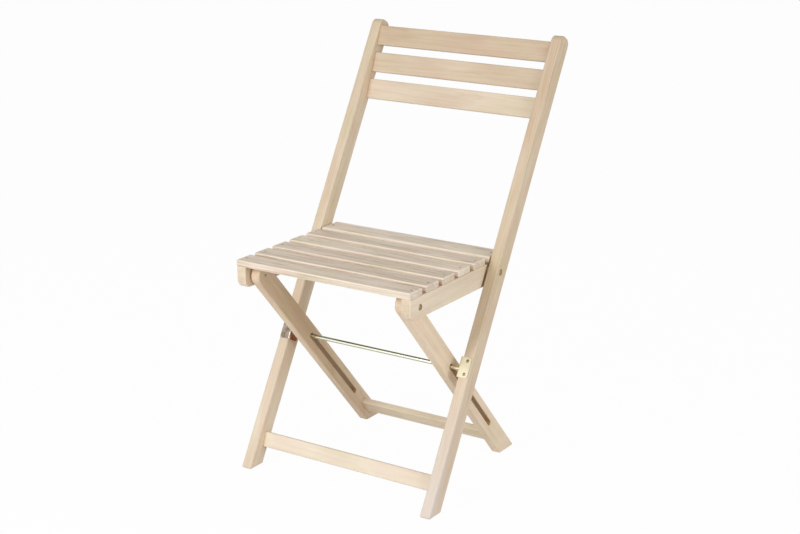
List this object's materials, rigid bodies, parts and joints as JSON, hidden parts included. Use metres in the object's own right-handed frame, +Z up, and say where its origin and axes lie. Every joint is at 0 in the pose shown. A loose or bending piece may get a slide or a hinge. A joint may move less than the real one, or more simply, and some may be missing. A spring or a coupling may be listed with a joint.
{
  "type": "folding garden chair",
  "caption": "Folding wooden garden chair: slatted seat hinged on long leaning posts, slotted legs sliding on a steel guide rod.",
  "frame": {"origin": "on the ground, at the centre of the chair's footprint box", "axes": "+X across the chair, -Y towards the front of the seat, +Z up"},
  "size_m": [0.44, 0.526, 0.8292],
  "materials": {
    "pale_wood": "pale, lightly oiled",
    "frame_wood": "pale, lightly oiled",
    "yellow_zinc": "yellow zinc plate",
    "steel": "dull zinc"
  },
  "bodies": {
    "back_frame": {"left_post": "frame_wood", "right_post": "frame_wood", "back_slat_bottom": "pale_wood", "back_slat_middle": "pale_wood", "back_slat_top": "pale_wood", "front_stretcher": "pale_wood", "left_rod_bracket": "yellow_zinc", "right_rod_bracket": "yellow_zinc", "bracket_screws": "steel", "guide_rod": "yellow_zinc", "seat_pivot_pins": "steel", "seat_pivot_washers": "steel"},
    "seat": {"left_seat_rail": "frame_wood", "right_seat_rail": "frame_wood", "seat_slat_1": "pale_wood", "seat_slat_2": "pale_wood", "seat_slat_3": "pale_wood", "seat_slat_4": "pale_wood", "seat_slat_5": "pale_wood", "seat_slat_6": "pale_wood", "slat_nails": "steel", "leg_pivot_pins": "steel", "leg_pivot_washers": "steel"},
    "legs": {"left_leg": "frame_wood", "right_leg": "frame_wood", "rear_stretcher": "pale_wood"}
  },
  "joints": [
    {"name": "seat_fold", "type": "hinge", "parent": "back_frame", "child": "seat", "pos_m": [0, 0.01197, 0.413], "axis": [-1, 0, 0], "range_deg": [0, 118.35]},
    {"name": "leg_fold", "type": "hinge", "parent": "seat", "child": "legs", "pos_m": [0, -0.22903, 0.406], "axis": [1, 0, 0], "range_deg": [0, 48.5]}
  ],
  "couplings": [
    {"joint": "leg_fold", "follows": "seat_fold", "ratio": 0.40977}
  ]
}
